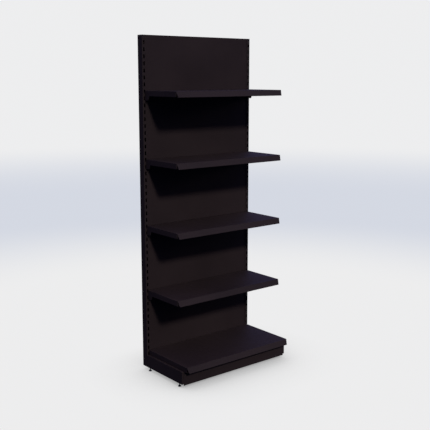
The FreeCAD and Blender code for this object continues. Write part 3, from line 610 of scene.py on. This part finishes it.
def upright_tree():
    """Tube along Z with a column of slots in its front wall and with holes at the start mesh's points.

    A point with a radius above zero is a round hole along its direction; any other is a slot for a tab.
    """
    tree, size = new_tree("slotted_upright", width=LENGTH, depth=LENGTH, length=LENGTH, wall=LENGTH,
                          corner=LENGTH, centre=SIZE, slot_width=LENGTH, slot_height=LENGTH,
                          slot_corner=LENGTH, pitch=LENGTH, first_slot=LENGTH, slots=COUNT, tab_slot=SIZE)
    both_walls = math_node(tree, "MULTIPLY", size["wall"], 2.0)
    cutter_depth = math_node(tree, "MULTIPLY", size["wall"], 3.0)
    outer = rounded_outline(tree, size["width"], size["depth"], size["corner"])
    inner = rounded_outline(tree, math_node(tree, "SUBTRACT", size["width"], both_walls),
                            math_node(tree, "SUBTRACT", size["depth"], both_walls),
                            math_node(tree, "SUBTRACT", size["corner"], size["wall"]))
    tube = moved(tree, prism(tree, joined(tree, outer, inner), size["length"]), size["centre"])

    slot = prism(tree, rounded_outline(tree, size["slot_width"], size["slot_height"], size["slot_corner"]),
                 cutter_depth)
    slot = moved(tree, slot, vector(tree, y=size["wall"]), (math.radians(90.0), 0.0, 0.0))
    front = vector(tree, y=math_node(tree, "MULTIPLY", size["depth"], -0.5), z=size["first_slot"])
    start = add_node(tree, "ShaderNodeVectorMath", {0: size["centre"], 1: front}, operation="ADD").outputs[0]
    column = add_node(tree, "GeometryNodeMeshLine", {"Count": size["slots"], "Start Location": start,
                                                     "Offset": vector(tree, z=size["pitch"])},
                      mode="OFFSET").outputs[0]
    slots = add_node(tree, "GeometryNodeRealizeInstances",
                     {"Geometry": on_points(tree, column, slot)}).outputs[0]

    radius = attribute(tree, "radius", "FLOAT")
    is_round = math_node(tree, "GREATER_THAN", radius, 0.0)
    is_slot = math_node(tree, "SUBTRACT", 1.0, is_round)
    bar = add_node(tree, "GeometryNodeMeshCylinder", {"Vertices": 24, "Radius": 1.0, "Depth": cutter_depth})
    holes = on_points(tree, size["geometry"], bar.outputs["Mesh"], selection=is_round,
                      rotation=turned_to(tree, attribute(tree, "along", "FLOAT_VECTOR")),
                      scale=vector(tree, radius, radius, 1.0))
    block = add_node(tree, "GeometryNodeMeshCube", {"Size": size["tab_slot"]}).outputs["Mesh"]
    tabs = on_points(tree, size["geometry"], block, selection=is_slot)
    holes = add_node(tree, "GeometryNodeRealizeInstances",
                     {"Geometry": joined(tree, holes, tabs)}).outputs[0]
    return end_tree(tree, cut(tree, tube, slots, holes), size["finish"])


def fastener_tree():
    """Hexagon heads or nuts with chamfered corners, a collar and a shank, on the start mesh's points."""
    tree, size = new_tree("hexagon_fasteners", flats=LENGTH, height=LENGTH, collar=LENGTH,
                          shank_radius=LENGTH, shank_length=LENGTH)
    corner_radius = math_node(tree, "DIVIDE", size["flats"], math.sqrt(3.0))
    prism_body = round_bar(tree, corner_radius, size["height"], 6)
    face_radius = math_node(tree, "MULTIPLY", size["flats"], CHAMFER_SHARE)
    wide = math_node(tree, "ADD", face_radius, math_node(tree, "MULTIPLY", size["height"], math.sqrt(3.0)))
    barrel = add_node(tree, "GeometryNodeMeshCone", {"Vertices": 48, "Radius Top": face_radius,
                                                     "Radius Bottom": wide, "Depth": size["height"]})
    head = add_node(tree, "GeometryNodeMeshBoolean", operation="INTERSECT", solver="EXACT")
    for part in (prism_body, barrel.outputs["Mesh"]):
        tree.links.new(part, head.inputs["Mesh 2"])
    collar = round_bar(tree, math_node(tree, "MULTIPLY", size["flats"], COLLAR_SHARE), size["collar"], 32)
    shank = moved(tree, round_bar(tree, size["shank_radius"], size["shank_length"]),
                  vector(tree, z=math_node(tree, "MULTIPLY", size["shank_length"], -1.0)))
    whole = joined(tree, head.outputs["Mesh"], collar, shank)
    placed = on_points(tree, size["geometry"], whole,
                       rotation=turned_to(tree, attribute(tree, "along", "FLOAT_VECTOR")))
    return end_tree(tree, placed, size["finish"])


def stud_tree():
    """Threaded studs, standing on the start mesh's points."""
    tree, size = new_tree("threaded_stud", radius=LENGTH, length=LENGTH, pitch=LENGTH, depth=LENGTH)
    core_radius = math_node(tree, "SUBTRACT", size["radius"], size["depth"])
    core = round_bar(tree, core_radius, size["length"], 32)
    thread_length = math_node(tree, "SUBTRACT", size["length"],
                              math_node(tree, "MULTIPLY", size["pitch"], 2.0))
    turns = math_node(tree, "DIVIDE", thread_length, size["pitch"])
    helix = add_node(tree, "GeometryNodeCurveSpiral",
                     {"Resolution": THREAD_STEPS, "Rotations": turns, "Start Radius": core_radius,
                      "End Radius": core_radius, "Height": thread_length, "Reverse": False}).outputs[0]
    ridge = add_node(tree, "GeometryNodeCurvePrimitiveCircle",
                     {"Resolution": 4, "Radius": size["depth"]}).outputs[0]
    thread = add_node(tree, "GeometryNodeCurveToMesh",
                      {"Curve": helix, "Profile Curve": ridge, "Fill Caps": True})
    raised = moved(tree, thread.outputs[0], vector(tree, z=size["pitch"]))
    placed = on_points(tree, size["geometry"], joined(tree, core, raised))
    return end_tree(tree, placed, size["finish"])


def pad_tree():
    """Grip ribs round the rim of the start mesh, which is a pad."""
    tree, size = new_tree("ribbed_pad", centre=SIZE, radius=LENGTH, rib_height=LENGTH, rib_radius=LENGTH,
                          ribs=COUNT)
    ring = add_node(tree, "GeometryNodeMeshCircle",
                    {"Vertices": size["ribs"], "Radius": size["radius"]}).outputs[0]
    rib = round_bar(tree, size["rib_radius"], size["rib_height"], 10)
    ribs = moved(tree, on_points(tree, ring, rib), size["centre"])
    return end_tree(tree, joined(tree, size["geometry"], ribs), size["finish"])


def weld_tree():
    """Rows of shallow spot-weld marks, which start at the start mesh's points and run along X."""
    tree, size = new_tree("spot_welds", radius=LENGTH, rise=LENGTH, pitch=LENGTH, count=COUNT)
    mark = add_node(tree, "GeometryNodeMeshUVSphere",
                    {"Segments": 14, "Rings": 6, "Radius": 1.0}).outputs["Mesh"]
    row = add_node(tree, "GeometryNodeMeshLine",
                   {"Count": size["count"], "Offset": vector(tree, size["pitch"])}, mode="OFFSET").outputs[0]
    marks = on_points(tree, row, mark, scale=vector(tree, size["radius"], size["radius"], size["rise"]))
    return end_tree(tree, on_points(tree, size["geometry"], marks), size["finish"])


# ---- Operators ----

class SHELVING_OT_back_panels(bpy.types.Operator):
    """Back panels with softened folded edges"""
    bl_idname = "shelving.back_panels"
    bl_label = "Back Panels"

    def execute(self, context):
        coat = context.scene.shelving_coat
        materials = made_materials(plain_materials, "panel", coat, "panel")
        for number in PANELS:
            coated_copy("back_panel_%d" % number, "panel_%d" % number, coat.edge_radius, materials)
        return {"FINISHED"}


class SHELVING_OT_uprights(bpy.types.Operator):
    """Slotted uprights, from a rule for their slots and holes"""
    bl_idname = "shelving.uprights"
    bl_label = "Uprights"

    def execute(self, context):
        coat = context.scene.shelving_coat
        sizes = context.scene.shelving_upright
        materials = made_materials(plain_materials, "upright", coat, "upright")
        tree = upright_tree()
        for name, side in SIDES.items():
            node = "upright_" + name
            low, high = (Vector(corner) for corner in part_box(node))
            middle = (low + high) / 2
            mesh = grown(tree, upright_holes(sizes, name, side), width=high.x - low.x, depth=high.y - low.y,
                         length=high.z - low.z, wall=sizes.wall, corner=sizes.corner_radius,
                         centre=(middle.x, middle.y, low.z), slot_width=sizes.slot_width,
                         slot_height=sizes.slot_height, slot_corner=sizes.slot_corner, pitch=sizes.slot_pitch,
                         first_slot=sizes.first_slot, slots=sizes.slot_count, tab_slot=sizes.tab_slot,
                         finish=materials[0])
            mesh.materials.clear()
            soften(mesh, coat.edge_radius)
            stand_in("slotted_upright_" + name, mesh, materials, node)
        return {"FINISHED"}


def upright_holes(sizes, name, side):
    """Start mesh for an upright: its tab slots, tie bolt holes, leg bolt hole and wall fixing hole."""
    low, high = (Vector(corner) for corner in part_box("upright_" + name))
    middle = (low + high) / 2
    inner_x = middle.x - side * ((high.x - low.x) / 2 - sizes.wall / 2)
    holes = []
    for number in PANELS:
        panel_low, panel_high = (Vector(corner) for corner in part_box("back_panel_%d" % number))
        for height in (panel_low.z + sizes.tab_inset, panel_high.z - sizes.tab_inset):
            holes.append((Vector((inner_x, panel_low.y + sizes.tab_depth, height)), 0.0, ALONG_X))
    for node, radius, along in (("tie_bolts", sizes.tie_hole, ALONG_X),
                                ("leg_bolts", sizes.leg_hole, ALONG_Y)):
        for bolt_low, bolt_high in solid_boxes(node):
            place = (bolt_low + bolt_high) / 2
            if place.x * side > 0:
                if along is ALONG_X:
                    place.x = inner_x
                else:
                    place.y = low.y + sizes.wall / 2
                holes.append((place, radius, along))
    wall_place = Vector((middle.x, high.y - sizes.wall / 2, high.z - sizes.wall_hole_drop))
    holes.append((wall_place, sizes.wall_hole, ALONG_Y))
    places, radii, directions = zip(*holes)
    return guide_points(places, radius=radii, along=directions)


class SHELVING_OT_tie_beams(bpy.types.Operator):
    """Tie beams between the uprights"""
    bl_idname = "shelving.tie_beams"
    bl_label = "Tie Beams"

    def execute(self, context):
        coat = context.scene.shelving_coat
        materials = made_materials(base_materials, "base", coat)
        for name in TIE_BEAMS:
            coated_copy("tie_beam_" + name, "beam_" + name, coat.edge_radius * 2, materials)
        return {"FINISHED"}


class SHELVING_OT_shelves(bpy.types.Operator):
    """Shelf trays with their spot-welded stiffening rails"""
    bl_idname = "shelving.shelves"
    bl_label = "Shelves"

    def execute(self, context):
        coat = context.scene.shelving_coat
        materials = made_materials(shelf_materials, "shelf", coat)
        for number in SHELVES:
            for part in ("tray", "rail"):
                coated_copy("shelf_%s_%d" % (part, number), "%s_%d" % (part, number), coat.edge_radius,
                            materials)
            weld_marks("shelf_rail_%d" % number, "rail_%d_welds" % number)
        return {"FINISHED"}


def weld_marks(node, name):
    """Spot-weld marks under the flanges of a node's rails, which are all as long as each other."""
    sizes = bpy.context.scene.shelving_hardware
    rails = solid_boxes(node)
    count = int((rails[0][1].x - rails[0][0].x) / sizes.weld_pitch)
    starts = []
    for low, high in rails:
        first_x = (low.x + high.x) / 2 - (count - 1) / 2 * sizes.weld_pitch
        under = high.z - RAIL_SHEET
        starts += [(first_x, low.y + RAIL_FLANGE / 2, under), (first_x, high.y - RAIL_FLANGE / 2, under)]
    finish = MATERIALS["shelf"][0]
    mesh = grown(made_tree(weld_tree), guide_points(starts), radius=sizes.weld_radius, rise=WELD_RISE,
                 pitch=sizes.weld_pitch, count=count, finish=finish)
    piece = new_object(name, mesh, [])
    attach(piece, frame["nodes"][node]["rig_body"])


class SHELVING_OT_brackets(bpy.types.Operator):
    """Hooked shelf brackets"""
    bl_idname = "shelving.brackets"
    bl_label = "Brackets"

    def execute(self, context):
        coat = context.scene.shelving_coat
        materials = made_materials(plain_materials, "bracket", coat, "bracket")
        for number in SHELVES:
            for side in SIDES:
                coated_copy("shelf_bracket_%d_%s" % (number, side), "bracket_%d_%s" % (number, side),
                            coat.edge_radius * 2, materials)
        return {"FINISHED"}


class SHELVING_OT_base(bpy.types.Operator):
    """Base legs, base shelf and kick plate"""
    bl_idname = "shelving.base"
    bl_label = "Base"

    def execute(self, context):
        coat = context.scene.shelving_coat
        base = made_materials(base_materials, "base", coat)
        shelf = made_materials(shelf_materials, "shelf", coat)
        for side in SIDES:
            coated_copy("base_leg_" + side, "leg_" + side, coat.edge_radius, base)
        coated_copy("base_shelf", "base_tray", coat.edge_radius, shelf)
        coated_copy("base_shelf_rails", "base_tray_rails", coat.edge_radius, shelf)
        weld_marks("base_shelf_rails", "base_tray_rail_welds")
        coated_copy("kick_plate", "kick_panel", coat.edge_radius, base)
        return {"FINISHED"}


class SHELVING_OT_caps_and_clips(bpy.types.Operator):
    """Plastic caps of the uprights and spring clips of the kick plate"""
    bl_idname = "shelving.caps_and_clips"
    bl_label = "Caps and Clips"

    def execute(self, context):
        sizes = context.scene.shelving_hardware
        plastic = made_materials(plastic_materials, "plastic")
        zinc = made_materials(plated_materials, "zinc", "zinc", sizes.zinc_colour)
        for side in SIDES:
            coated_copy("upright_cap_" + side, "cap_" + side, CAP_EDGE, plastic * 2)
            coated_copy("kick_clip_" + side, "clip_" + side, CLIP_EDGE, zinc * 2)
        return {"FINISHED"}


class SHELVING_OT_fasteners(bpy.types.Operator):
    """Tie bolts, leg bolts and lock nuts"""
    bl_idname = "shelving.fasteners"
    bl_label = "Fasteners"

    def execute(self, context):
        sizes = context.scene.shelving_hardware
        zinc = made_materials(plated_materials, "zinc", "zinc", sizes.zinc_colour)
        black = made_materials(plated_materials, "black_zinc", "black_zinc", sizes.black_zinc_colour)
        hexagons("tie_bolts", "tie_bolt_set", zinc,
                 lambda place: -ALONG_X * math.copysign(1, place.x),
                 sizes.tie_bolt_flats, sizes.tie_bolt_head, sizes.tie_bolt_radius, sizes.bolt_length)
        hexagons("leg_bolts", "leg_bolt_set", black, lambda place: -ALONG_Y,
                 sizes.leg_bolt_flats, sizes.leg_bolt_head, sizes.leg_bolt_radius, sizes.bolt_length)
        low, high = solid_boxes("foot_lock_nuts")[0]
        hexagons("foot_lock_nuts", "lock_nut_set", black, lambda place: -ALONG_Z,
                 sizes.leg_bolt_flats, high.z - low.z, sizes.leg_bolt_radius, sizes.washer)
        return {"FINISHED"}


def hexagons(node, name, materials, facing, flats, height, shank_radius, shank_length):
    """Bolts or nuts in place of a node's solids; facing gives the way a head points at a place."""
    sizes = bpy.context.scene.shelving_hardware
    seats = []
    directions = []
    for low, high in solid_boxes(node):
        middle = (low + high) / 2
        along = facing(middle)
        reach = abs((high - low).dot(along)) / 2
        seats.append(middle + along * (reach - height))
        directions.append(along)
    mesh = grown(made_tree(fastener_tree), guide_points(seats, along=directions), flats=flats, height=height,
                 collar=sizes.washer, shank_radius=shank_radius, shank_length=shank_length,
                 finish=materials[0])
    stand_in(name, mesh, [], node)


class SHELVING_OT_feet(bpy.types.Operator):
    """Levelling feet: threaded studs in ribbed pads"""
    bl_idname = "shelving.feet"
    bl_label = "Levelling Feet"

    def execute(self, context):
        sizes = context.scene.shelving_hardware
        plastic = made_materials(plastic_materials, "plastic")
        black = made_materials(plated_materials, "black_zinc", "black_zinc", sizes.black_zinc_colour)
        for end in ENDS:
            for side in SIDES:
                where = "%s_%s" % (end, side)
                low, high = (Vector(corner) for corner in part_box("foot_stud_" + where))
                middle = (low + high) / 2
                stud = grown(made_tree(stud_tree), guide_points([(middle.x, middle.y, low.z)]),
                             radius=(high.x - low.x) / 2, length=high.z - low.z, pitch=sizes.thread_pitch,
                             depth=sizes.thread_depth, finish=black[0])
                stand_in("stud_" + where, stud, [], "foot_stud_" + where)
                low, high = (Vector(corner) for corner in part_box("foot_pad_" + where))
                rim = (high.x - low.x) / 2 - sizes.rib_radius / 2
                pad = grown(made_tree(pad_tree), node_copy("foot_pad_" + where, PAD_EDGE),
                            centre=(middle.x, middle.y, low.z + PAD_EDGE * 2), radius=rim,
                            rib_height=(high.z - low.z) * RIB_SHARE, rib_radius=sizes.rib_radius,
                            ribs=sizes.pad_ribs, finish=plastic[0])
                stand_in("pad_" + where, pad, [], "foot_pad_" + where)
        return {"FINISHED"}


class SHELVING_OT_studio(bpy.types.Operator):
    """Pale floor, soft light and camera"""
    bl_idname = "shelving.studio"
    bl_label = "Studio"

    def execute(self, context):
        settings = context.scene.shelving_studio
        make_camera(context.scene)
        make_world(context.scene, settings)
        make_floor(settings)
        for name, strength in (("key_light", settings.key_strength), ("rear_light", settings.rear_strength),
                               ("side_light", settings.side_strength)):
            make_sun(name, strength, *SUNS[name])
        context.scene.view_settings.view_transform = "Standard"
        return {"FINISHED"}


# ---- Studio ----

CAMERA_FROM_FACE = Vector((-3.6211, -4.6752, 2.2427))     # from the uprights' front faces, at the floor
CAMERA_YAW = math.radians(38.95)
CAMERA_PITCH = math.radians(10.303)
CAMERA_LENS = 63.695
CAMERA_SENSOR = 36.0
FLOOR_RADIUS = 60.0
FLOOR_CORNERS = 128
PAINTED_SHADE_REACH = 0.5          # how far from the feet the painted shade darkens the floor
# strength of the floor's glow where the painted shade is darkest
PAINTED_SHADE_DARK = 0.35
SKY_TOP = 0.9              # height of a direction at which the sky's colour is reached
TONE_BANDS = (3.0, 6.5, 9.0, 20.0)        # distances at which the floor's tones change
SUNS = {
    "key_light": (Vector((0.26, 1.0, -0.655)), 6.0, (1.0, 0.985, 0.97)),
    "rear_light": (Vector((0.0, -1.0, -0.75)), 20.0, (0.92, 0.96, 1.0)),
    "side_light": (Vector((-1.0, 0.12, -0.25)), 12.0, (0.92, 0.96, 1.0)),
}


def make_camera(scene):
    camera = bpy.data.objects.new("camera", bpy.data.cameras.new("camera"))
    scene.collection.objects.link(camera)
    level = math.cos(CAMERA_PITCH)
    forward = Vector((math.sin(CAMERA_YAW) * level, math.cos(CAMERA_YAW) * level, -math.sin(CAMERA_PITCH)))
    camera.location = CAMERA_FROM_FACE + ALONG_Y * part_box("upright_left")[0][1]
    camera.rotation_euler = forward.to_track_quat("-Z", "Y").to_euler()
    camera.data.lens = CAMERA_LENS
    camera.data.sensor_width = CAMERA_SENSOR
    camera.data.clip_end = FLOOR_RADIUS * 2
    scene.camera = camera


def make_sun(name, strength, travel, angle, tint):
    """Distant light; only the main one shows in the coat's gloss."""
    lamp = bpy.data.lights.new(name, "SUN")
    lamp.energy = strength
    lamp.angle = math.radians(angle)
    lamp.color = tint
    light = bpy.data.objects.new(name, lamp)
    light.visible_glossy = name == "key_light"
    light.rotation_euler = travel.to_track_quat("-Z", "Y").to_euler()
    bpy.context.scene.collection.objects.link(light)


def make_world(scene, settings):
    """Even backdrop, which lights the bay only weakly and mostly from overhead."""
    world = bpy.data.worlds.new("backdrop")
    scene.world = world
    world.use_nodes = True
    tree = world.node_tree
    tree.nodes.clear()
    direction = add_node(tree, "ShaderNodeTexCoord").outputs["Generated"]
    height = add_node(tree, "ShaderNodeSeparateXYZ", {"Vector": direction}).outputs["Z"]
    light = mixed_colour(tree, spread(tree, height, 0.0, SKY_TOP, 0.0, 1.0), settings.horizon, settings.sky)
    seen = add_node(tree, "ShaderNodeBackground", {"Color": (*settings.high_tone, 1.0), "Strength": 1.0})
    ambient = add_node(tree, "ShaderNodeBackground", {"Color": light, "Strength": 1.0})
    ray = add_node(tree, "ShaderNodeLightPath").outputs["Is Camera Ray"]
    mix = add_node(tree, "ShaderNodeMixShader", {0: ray, 1: ambient.outputs[0], 2: seen.outputs[0]})
    add_node(tree, "ShaderNodeOutputWorld", {"Surface": mix.outputs[0]})
    arrange(tree)


def make_floor(settings):
    """Wide pale floor that runs into the backdrop without a line, with painted shade under the bay from
    ambient occlusion.
    """
    mesh = bpy.data.meshes.new("floor")
    work = bmesh.new()
    bmesh.ops.create_circle(work, cap_ends=True, segments=FLOOR_CORNERS, radius=FLOOR_RADIUS)
    work.to_mesh(mesh)
    work.free()
    material = bpy.data.materials.new("studio_floor")
    material.use_nodes = True
    tree = material.node_tree
    tree.nodes.clear()
    place = add_node(tree, "ShaderNodeTexCoord").outputs["Object"]
    distance = add_node(tree, "ShaderNodeVectorMath", {0: place}, operation="LENGTH").outputs["Value"]
    far, high = (add_node(tree, "ShaderNodeMapRange", {"Value": distance, "From Min": start, "From Max": end},
                          interpolation_type="SMOOTHSTEP").outputs["Result"]
                 for start, end in (TONE_BANDS[:2], TONE_BANDS[2:]))
    tone = mixed_colour(tree, far, settings.near_tone, settings.far_tone)
    tone = mixed_colour(tree, high, tone, settings.high_tone)
    # painted shade: ambient occlusion dims the floor's glow near and under the bay, in place of the bay's
    # shadow
    painted_contact_shade = add_node(tree, "ShaderNodeAmbientOcclusion", {"Distance": PAINTED_SHADE_REACH}, samples=8).outputs["AO"]
    painted_shade_strength = spread(tree, painted_contact_shade, 0.0, 1.0, PAINTED_SHADE_DARK, 1.0)
    seen = add_node(tree, "ShaderNodeEmission", {"Color": tone, "Strength": painted_shade_strength})
    ambient = add_node(tree, "ShaderNodeEmission", {"Color": (*settings.bounce, 1.0), "Strength": 1.0})
    ray = add_node(tree, "ShaderNodeLightPath").outputs["Is Camera Ray"]
    mix = add_node(tree, "ShaderNodeMixShader", {0: ray, 1: ambient.outputs[0], 2: seen.outputs[0]})
    add_node(tree, "ShaderNodeOutputMaterial", {"Surface": mix.outputs[0]})
    arrange(tree)
    floor = new_object("floor", mesh, [material])


# ---- Add-on ----

class SHELVING_PT_sidebar(bpy.types.Panel):
    """Lists the pieces of the bay"""
    bl_label = "Shelving Bay"
    bl_space_type = "VIEW_3D"
    bl_region_type = "UI"
    bl_category = "Shelving Bay"

    def draw(self, context):
        for operator in OPERATORS:
            self.layout.operator(operator.bl_idname)


OPERATORS = (SHELVING_OT_uprights, SHELVING_OT_back_panels, SHELVING_OT_tie_beams, SHELVING_OT_shelves,
             SHELVING_OT_brackets, SHELVING_OT_base, SHELVING_OT_caps_and_clips, SHELVING_OT_fasteners,
             SHELVING_OT_feet, SHELVING_OT_studio)
SETTINGS = {"shelving_coat": CoatSettings, "shelving_upright": UprightSettings,
            "shelving_hardware": HardwareSettings, "shelving_studio": StudioSettings}
CLASSES = (*SETTINGS.values(), *OPERATORS, SHELVING_PT_sidebar)


def register():
    for item in CLASSES:
        bpy.utils.register_class(item)
    for name, group in SETTINGS.items():
        setattr(bpy.types.Scene, name, PointerProperty(type=group))


def unregister():
    for name in SETTINGS:
        delattr(bpy.types.Scene, name)
    for item in reversed(CLASSES):
        bpy.utils.unregister_class(item)


def main():
    register()
    for operator in OPERATORS:
        group, name = operator.bl_idname.split(".")
        getattr(getattr(bpy.ops, group), name)()


if __name__ == "__main__":
    main()
